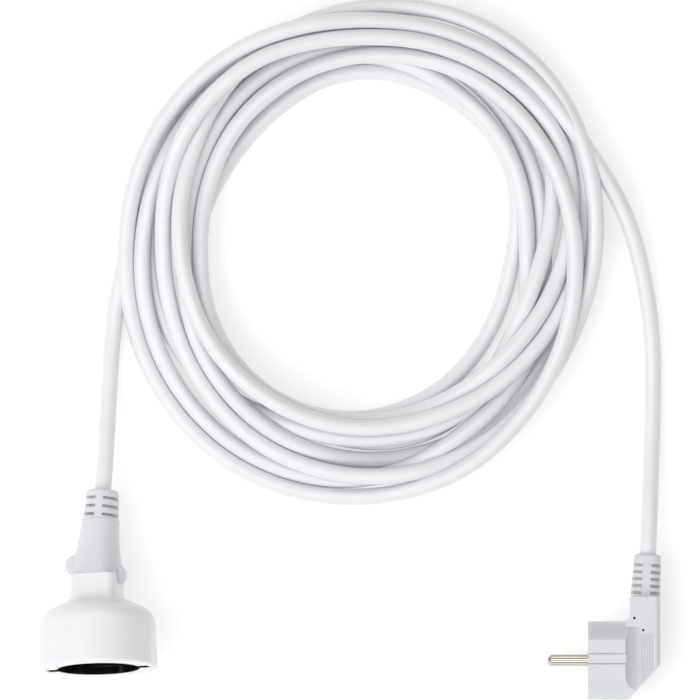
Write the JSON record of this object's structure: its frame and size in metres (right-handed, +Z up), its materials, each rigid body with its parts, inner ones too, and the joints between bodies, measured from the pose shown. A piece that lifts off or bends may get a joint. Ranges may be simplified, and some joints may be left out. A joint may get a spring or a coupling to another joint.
{
  "type": "extension cord",
  "caption": "White earthed extension lead: angled round plug with straight pins, bell-shaped socket coupling, and a white cord lying in a loose round coil.",
  "frame": {"origin": "middle of the plug and coupling together, seen from above, at the level of the surface they lie on", "axes": "+X from the coupling to the plug, +Y towards the coil, +Z up"},
  "size_m": [0.2927, 0.3301, 0.0577],
  "materials": {
    "white_shell": "satin moulded PVC",
    "white_soft": "satin soft PVC",
    "cord_sheath": "smooth extruded PVC",
    "black_insert": "glossy moulded",
    "ivory_insulator": "moulded",
    "nickel": "nickel plated",
    "brass": "stamped",
    "tinned_copper": "tinned",
    "spring_steel": "drawn wire",
    "shutter_grey": "moulded",
    "core_brown": "PVC",
    "core_blue": "PVC",
    "core_earth": "green and yellow PVC"
  },
  "bodies": {
    "lead": {"plug_body": "white_shell", "plug_strain_relief": "white_soft", "plug_pin_bridge": "white_shell", "plug_pin_live": "nickel", "plug_pin_neutral": "nickel", "plug_earth_clips": "nickel", "plug_earth_socket": "brass", "plug_crimps": "tinned_copper", "coupling_shell": "white_shell", "coupling_grip_sleeve": "white_soft", "coupling_socket_insert": "black_insert", "coupling_contact_carrier": "ivory_insulator", "coupling_shutter_spring": "spring_steel", "coupling_contact_live": "brass", "coupling_contact_neutral": "brass", "coupling_earth_strap": "nickel", "coupling_crimps": "tinned_copper", "cord_coil": "cord_sheath", "cord_plug_tail": "cord_sheath", "cord_coupling_tail": "cord_sheath", "plug_wire_live": "core_brown", "plug_wire_neutral": "core_blue", "plug_wire_earth": "core_earth", "coupling_wire_live": "core_brown", "coupling_wire_neutral": "core_blue", "coupling_wire_earth": "core_earth"},
    "shutter": {"coupling_shutter": "shutter_grey"}
  },
  "joints": [
    {"name": "shutter_turn", "type": "hinge", "parent": "lead", "child": "shutter", "pos_m": [-0.1187, -0.01555, 0.02711], "axis": [-0.0224, 0.9874, -0.1564], "range_deg": [0, 36], "stiffness_Nm_per_rad": 0.003, "springref_deg": -20.05}
  ]
}
